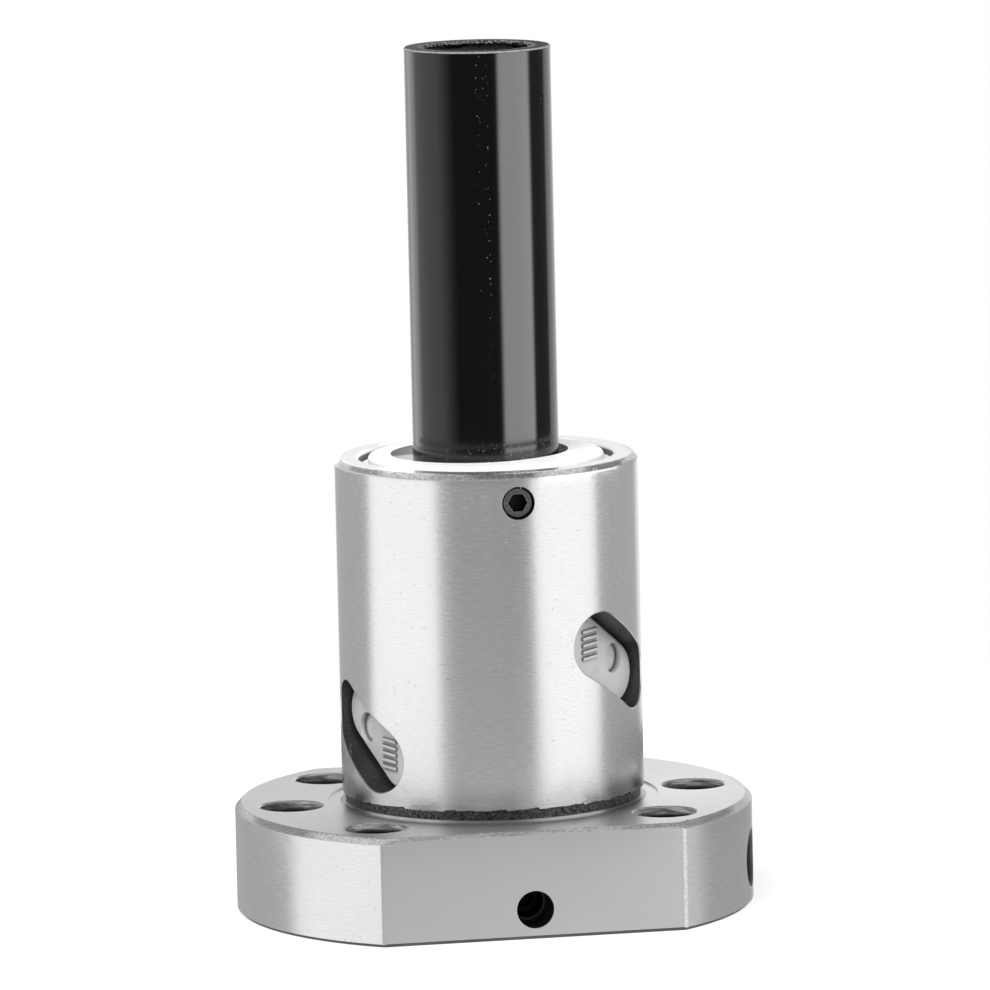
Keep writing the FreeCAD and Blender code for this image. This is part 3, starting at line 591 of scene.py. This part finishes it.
def makeCast():
    material, g = makeMaterial("cap_zinc")
    point = g.place().point
    grain = g.noise(point, 5.0, 4.0, 0.6)
    cloudy = g.noise(point, 0.7, 3.0)
    # Painted shade in the cap's crevices and recess, from ambient occlusion
    reach = {"Distance": castZinc["creviceShadeReach"]}
    paintedCreviceShade = g.add("AmbientOcclusion", reach, samples=8, only_local=True).outputs["AO"]
    colour = g.mix(g.spread(grain, 0.0, 1.0), castZinc["dark"], castZinc["light"])
    colour = g.mix(g.scaled(cloudy, 0.4, 0.7, 0.0, 0.35), colour, castZinc["cloud"])
    colour = g.mix(g.scaled(paintedCreviceShade, 0.45, 0.93, 1.0, 0.0), colour, castZinc["paintedCreviceShade"])
    normal = g.bump(grain, castZinc["grain"], 0.5, g.rounded(castZinc["edge"]))
    g.principled(colour, g.spread(grain, *castZinc["roughness"]), {"Metallic": 0.35, "Normal": normal})
    return material


ballSteel = {"dark": (0.76, 0.76, 0.77), "light": grey(0.86), "roughness": (0.05, 0.11)}


def makeBallSteel():
    material, g = makeMaterial("ball_steel")
    film = g.noise(g.place().point, 1.2, 3.0)
    colour = g.mix(film, ballSteel["dark"], ballSteel["light"])
    g.principled(colour, g.spread(film, *ballSteel["roughness"]), {"Metallic": 1.0})
    return material


whitePlastic = {"dark": (0.86, 0.86, 0.85), "light": (0.91, 0.91, 0.905), "roughness": (0.36, 0.46),
                "grain": 0.00001}


def makeWhitePlastic():
    material, g = makeMaterial("white_plastic")
    fine = g.noise(g.place().point, 3.5, 3.0)
    colour = g.mix(fine, whitePlastic["dark"], whitePlastic["light"])
    normal = g.bump(fine, whitePlastic["grain"], 0.4)
    g.principled(colour, g.spread(fine, *whitePlastic["roughness"]), {"Normal": normal})
    return material


blackSteel = {"oxide": (0.15, 0.15, 0.153), "thin": grey(0.36), "wearAndHighlight": grey(0.55), "deep": grey(0.02),
              "roughness": (0.32, 0.5), "edge": 0.00012}


# Oxide that is thin in places and off at the edges, where a painted highlight lies too, and painted shade
# deep in the screws' holes
def makeBlackSteel():
    material, g = makeMaterial("black_steel")
    at = g.place()
    worn = g.noise(at.point, 4.0, 5.0, 0.7)
    rounded = g.rounded(blackSteel["edge"], 6)
    straight = g.add("NewGeometry").outputs["True Normal"]
    bent = g.add("VectorMath", {0: rounded, 1: straight}, operation="DOT_PRODUCT").outputs["Value"]
    # Edges: oxide worn off, and a painted highlight
    edge = g.all(g.step(bent, 0.97, 0.85), g.scaled(worn, 0.35, 0.55, 0.3, 1.0))
    # Painted shade over the lower screw and deep in the holes
    deep = g.any(g.step(at.z, 8.0, 6.0), g.step(at.radius, nut["barrel"] - 0.65, nut["barrel"] - 0.9))
    colour = g.mix(g.scaled(worn, 0.55, 0.75, 0.0, 1.0), blackSteel["oxide"], blackSteel["thin"])
    colour = g.mix(edge, colour, blackSteel["wearAndHighlight"])
    colour = g.mix(deep, colour, blackSteel["deep"])
    g.principled(colour, g.spread(worn, *blackSteel["roughness"]), {"Metallic": 1.0, "Normal": rounded})
    return material


blackPlastic = {
    "dark": (0.003, 0.003, 0.0033), "light": (0.006, 0.006, 0.0064), "dustAndHighlight": grey(0.34),
    "roughness": (0.09, 0.14), "endRoughness": 0.6, "shine": 0.5, "endShine": 0.12,
    "drawn": 0.000002, "sawn": 0.0001,                      # heights, metres
}


# Dust in two stripes up the tube, denser to the top, and round it at the nut. Sawdust on its end. A painted
# highlight, dotted, along the outer edge of its top
def speckAndHighlightMask(g, at, sawn, end):
    top, bore, outer = tube["top"], tube["bore"], tube["outer"]
    dustAndHighlight = g.noise(at.point, 7.5, 0.0)
    leftStripe = g.all(g.step(at.turn, -0.292, -0.280), g.step(at.turn, -0.255, -0.262))
    rightStripe = g.all(g.step(at.turn, -0.125, -0.105), g.step(at.turn, 0.0, -0.03))
    sparse = g.scaled(at.z, 46.0, 80.0, 0.845, 0.785)
    upper = g.all(g.step(g.math("SUBTRACT", dustAndHighlight, sparse), 0.0, 0.03), g.step(at.z, 44.0, 50.0),
                  g.any(leftStripe, rightStripe))
    lower = g.all(g.step(dustAndHighlight, 0.78, 0.82), g.step(at.z, 44.6, 42.5), g.step(at.z, 39.5, 41.0))
    # Painted highlight along the outer edge of the top
    rim = g.all(g.step(at.radius, outer - 0.15, outer - 0.11), g.step(at.z, top - 0.16, top - 0.12),
                g.scaled(sawn, 0.35, 0.5, 0.25, 1.0))
    lip = g.all(g.step(at.radius, bore + 0.35, bore + 0.25), g.step(at.z, top - 0.3, top - 0.2),
                g.step(sawn, 0.50, 0.56))
    return g.any(upper, lower, rim, g.all(end, g.step(sawn, 0.60, 0.66)), lip)


def makeBlackPlastic():
    material, g = makeMaterial("black_plastic")
    at = g.place()
    top, bore = tube["top"], tube["bore"]
    drawn = g.noise(ringed(g, at, 0.9, 20.0, 1.0), 1.0, 3.0)
    sawn = g.noise(at.point, 6.0, 5.0, 0.75)
    mouth = g.all(g.step(at.radius, bore + 0.1, bore + 0.05), g.step(at.z, top - 1.8, top - 0.2))
    end = g.any(g.step(at.z, top - 0.2, top - 0.1), mouth)
    # Dust, sawdust and a painted highlight
    specks = speckAndHighlightMask(g, at, sawn, end)
    colour = g.mix(drawn, blackPlastic["dark"], blackPlastic["light"])
    colour = g.mix(specks, colour, blackPlastic["dustAndHighlight"])
    rough = g.spread(drawn, *blackPlastic["roughness"])
    rough = g.blend(g.any(end, specks), rough, blackPlastic["endRoughness"])
    normal = g.bump(drawn, blackPlastic["drawn"], 0.3)
    normal = g.bump(g.math("MULTIPLY", sawn, end), blackPlastic["sawn"], 0.8, normal)
    face = g.all(end, g.step(at.z, top - 0.8, top - 0.3))
    shine = g.blend(face, blackPlastic["shine"], blackPlastic["endShine"])
    g.principled(colour, rough, {"Normal": normal, "Specular IOR Level": shine})
    return material


threadSteel = {"dark": grey(0.35), "light": grey(0.75), "roughness": (0.25, 0.4), "grain": 0.00002}


def makeThreadSteel():
    material, g = makeMaterial("thread_steel")
    grain = g.noise(g.place().point, 3.0, 4.0, 0.6)
    colour = g.mix(grain, threadSteel["dark"], threadSteel["light"])
    normal = g.bump(grain, threadSteel["grain"], 0.6)
    g.principled(colour, g.spread(grain, *threadSteel["roughness"]), {"Metallic": 0.5, "Normal": normal})
    return material


def dress(material, *names):
    for name in names:
        slots = nodes[name].data.materials
        slots.clear()
        slots.append(material)


steelMaterial = makeSteel()
threadMaterial = makeThreadSteel()
tubeMaterial = makeBlackPlastic()
dress(steelMaterial, "nut_body")
dress(makeCast(), *[name for name in nodes if name.startswith("return_cap")])
dress(makeBallSteel(), *[name for name in nodes if name.startswith("ball_")])
dress(makeWhitePlastic(), "wiper_top", "wiper_bottom")
dress(makeBlackSteel(), "set_screw_top", "set_screw_bottom")
dress(tubeMaterial, "arbor_tube")
print("materials made")


# Added pieces: the oil port's thread, nicks on the edges, and the ragged edges of saw and wheel

def fit(piece, material, body="nut"):
    piece.data.materials.append(material)
    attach(piece, body)


# Foot and crest are half the ridge's width there, as shares of the pitch. Its ends taper over
# runOut steps
portThread = {"from": 16.6, "to": 23.3, "pitch": 1.0, "perTurn": 36, "foot": 0.44, "crest": 0.07,
              "depth": 0.32, "sunk": 0.02, "runOut": 9}


# Thread ridge on the port's wall, wound round its axis
def makeThread():
    angle = math.radians(oilPort["angle"])
    out = Vector((math.cos(angle), math.sin(angle), 0.0))
    side = Vector((-math.sin(angle), math.cos(angle), 0.0))
    up = Vector((0.0, 0.0, 1.0))
    perTurn, pitch, runOut = portThread["perTurn"], portThread["pitch"], portThread["runOut"]
    foot, crest, wall = portThread["foot"], portThread["crest"], oilPort["core"] + portThread["sunk"]
    count = round((portThread["to"] - portThread["from"] - pitch) / pitch * perTurn)
    vertices, faces = [], []
    for step in range(count + 1):
        turn = 2 * math.pi * step / perTurn
        away = side * math.cos(turn) + up * math.sin(turn)
        level = portThread["from"] + pitch * (0.5 + step / perTurn)
        taper = min(1.0, step / runOut, (count - step) / runOut)
        tip = oilPort["core"] - max(0.01, taper) * portThread["depth"]
        for shift, radius in ((-foot, wall), (-crest, tip), (crest, tip), (foot, wall)):
            vertices.append((out * (level + shift * pitch) + away * radius + up * oilPort["rise"]) * mm)
    for step in range(count):
        first = 4 * step
        for lane in range(3):
            faces.append((first + lane, first + lane + 1, first + lane + 5, first + lane + 4))
        faces.append((first + 3, first, first + 4, first + 7))
    faces += [(3, 2, 1, 0), tuple(4 * count + lane for lane in range(4))]
    fit(addMesh("oil_port_thread", vertices, faces), threadMaterial)


# Point on the nut, with the direction of a mark there and the way out of the surface
def onRing(radius, height, degrees, slope, turned):
    angle = math.radians(degrees)
    radial = Vector((math.cos(angle), math.sin(angle), 0.0))
    around = Vector((-math.sin(angle), math.cos(angle), 0.0))
    outward = (radial * math.cos(slope) + Vector((0, 0, 1)) * math.sin(slope)).normalized()
    down = around.cross(outward)
    along = around * math.cos(turned) + down * math.sin(turned)
    return radial * radius + Vector((0, 0, height)), along, outward


edgeWear = {
    "barrelEdge": 60, "underEdge": 46, "rimEdge": 46, "flatEdge": 40,       # how many nicks
    # angle, height, lean in radians
    "gouges": ((-56.4, 41.35, 1.9), (-55.2, 41.3, 2.0), (-53.9, 41.4, 1.2), (-88.0, 41.0, 1.5),
               (-86.5, 41.1, 1.6)),
    # angle, height
    "scratches": ((-116.5, 23.2), (-118.7, 24.5), (-95.2, 23.2), (-99.0, 23.9), (-110.0, 31.0)),
    "specks": ((-77.8, 12.2), (-79.8, 11.7), (-46.5, 12.7), (-45.0, 12.4), (-37.5, 12.8),
               (-36.2, 12.6), (-169.2, 15.2), (-169.6, 15.6), (-168.8, 14.9), (-170.3, 15.3),
               (-169.0, 15.9), (-113.0, 12.0), (-61.0, 12.9)),
}


# Each mark: middle, direction, outward, length, width
def barrelMarks(dice):
    radius, top, chamfer = nut["barrel"], nut["top"], nut["chamfer"]
    marks = []
    for _ in range(edgeWear["barrelEdge"]):
        share = dice.uniform(0.15, 0.85)
        spot = onRing(radius - chamfer * share, top - chamfer * (1 - share),
                      dice.uniform(-180, 180), math.pi / 4, dice.gauss(0.0, 0.5))
        marks.append((*spot, dice.uniform(0.15, 0.6), dice.uniform(0.05, 0.12)))
    for _ in range(edgeWear["underEdge"]):
        spot = onRing(radius - 0.02, top - chamfer - dice.uniform(0.0, 0.25),
                      dice.gauss(-104, 14), 0.1, dice.gauss(0.0, 0.6))
        marks.append((*spot, dice.uniform(0.1, 0.35), dice.uniform(0.04, 0.09)))
    for degrees, height, turned in edgeWear["gouges"]:
        marks.append((*onRing(radius - 0.02, height, degrees, 0.1, turned), 0.9, 0.09))
    for degrees, height in edgeWear["scratches"]:
        spot = onRing(radius, height, degrees, 0.0, dice.gauss(0.0, 0.1))
        marks.append((*spot, dice.uniform(0.5, 1.0), 0.05))
    for degrees, height in edgeWear["specks"]:
        spot = onRing(radius - 0.01, height, degrees, 0.0, dice.uniform(-1.5, 1.5))
        marks.append((*spot, dice.uniform(0.12, 0.3), 0.12))
    return marks


def flangeMarks(dice):
    rim, top, chamfer = nut["rim"], nut["flange"], nut["flangeChamfer"]
    marks = []
    for _ in range(edgeWear["rimEdge"]):
        share = dice.uniform(0.1, 0.95)
        degrees = dice.choice((0, 180)) + dice.uniform(-53, 53)
        spot = onRing(rim - chamfer * share, top - chamfer * (1 - share), degrees,
                      math.pi / 4, dice.gauss(0.0, 0.5))
        marks.append((*spot, dice.uniform(0.15, 0.6), dice.uniform(0.05, 0.13)))
    flat, chamfer = nut["flat"], nut["flatChamfer"]
    right, outward = Vector((1, 0, 0)), Vector((0, -1, 1)).normalized()
    for _ in range(edgeWear["flatEdge"]):
        share = dice.uniform(0.1, 0.9)
        across = dice.uniform(-13.5, 13.8)
        middle = Vector((across, -flat + chamfer * share, top - chamfer * (1 - share)))
        turned = dice.gauss(0.0, 0.12)
        along = right * math.cos(turned) + outward.cross(right) * math.sin(turned)
        marks.append((middle, along, outward, dice.uniform(0.4, 2.2), dice.uniform(0.05, 0.12)))
    return marks


# Ridge and rise are shares of a mark's length and width
nick = {"sunk": 0.004, "ridge": 0.6, "rise": 0.14}


# Small ridges thrown up by knocks. None stands out past the flat
def makeNicks():
    dice = random.Random(16)
    front = -nut["flat"] * mm
    vertices, faces = [], []
    for middle, along, outward, length, width in barrelMarks(dice) + flangeMarks(dice):
        side = along.cross(outward).normalized()
        first = len(vertices)
        base = middle - outward * nick["sunk"]
        for end in (-0.5, 0.5):
            for edge in (-0.5, 0.5):
                vertices.append((base + along * length * end + side * width * edge) * mm)
        for end in (-nick["ridge"] / 2, nick["ridge"] / 2):
            vertices.append((middle + along * length * end + outward * width * nick["rise"]) * mm)
        faces += [tuple(first + corner for corner in face) for face in (
            (0, 4, 5, 2), (1, 3, 5, 4), (0, 1, 4), (2, 5, 3), (0, 2, 3, 1))]
    vertices = [Vector((v.x, max(v.y, front), v.z)) for v in vertices]
    fit(addMesh("edge_nicks", vertices, faces), steelMaterial)


# Reach into the bore, which wanders by so much a step, and depths below the tube's top
burr = {"count": 120, "sunk": 0.05, "reach": (0.05, 0.42), "wander": 0.13, "drop": (0.03, 0.30),
        "upper": 0.12, "lower": 0.7}


# Ragged lip that the saw left round the tube's bore
def makeBurr():
    dice = random.Random(7)
    count, wall, top = burr["count"], tube["bore"] + burr["sunk"], tube["top"]
    least, most = burr["reach"]
    vertices, faces = [], []
    reach = 0.15
    for step in range(count):
        angle = 2 * math.pi * step / count
        reach = min(most, max(least, reach + dice.uniform(-burr["wander"], burr["wander"])))
        lip = top - dice.uniform(*burr["drop"])
        for radius, height in ((wall, top - burr["upper"]), (tube["bore"] - reach, lip),
                               (wall, top - burr["lower"])):
            vertices.append(ringPoint(radius, angle, height))
        here, following = 3 * step, 3 * ((step + 1) % count)
        for lane in range(3):
            after = (lane + 1) % 3
            faces.append((here + lane, here + after, following + after, following + lane))
    fit(addMesh("tube_burr", vertices, faces), tubeMaterial, "arbor")


# Level starts anew every few steps, then slopes and wanders by so much a step
groundLip = {"count": 720, "outer": 13.995, "inner": 13.72, "level": (10.88, 11.02), "highest": 11.16,
             "slope": (-0.002, 0.014), "wander": 0.008, "undercut": 0.03}


# Ragged lip that the grinding wheel left under the barrel, over the neck
def makeGroundLip():
    dice = random.Random(5)
    count, left, wander = groundLip["count"], 0, groundLip["wander"]
    vertices, faces = [], []
    for step in range(count):
        if left <= 0:
            left = dice.randint(5, 16)
            level = dice.uniform(*groundLip["level"])
            slope = dice.uniform(*groundLip["slope"])
        left -= 1
        level = min(groundLip["highest"], level + slope + dice.uniform(-wander, wander))
        angle = 2 * math.pi * step / count
        for radius, height in ((groundLip["outer"], nut["relief"]), (groundLip["outer"], level),
                               (groundLip["inner"], level + groundLip["undercut"])):
            vertices.append(ringPoint(radius, angle, height))
        here, following = 3 * step, 3 * ((step + 1) % count)
        for lane in range(2):
            faces.append((here + lane, here + lane + 1, following + lane + 1, following + lane))
    fit(addMesh("ground_lip", vertices, faces), steelMaterial)


makeThread()
makeBurr()
makeGroundLip()
makeNicks()
print("added pieces made")
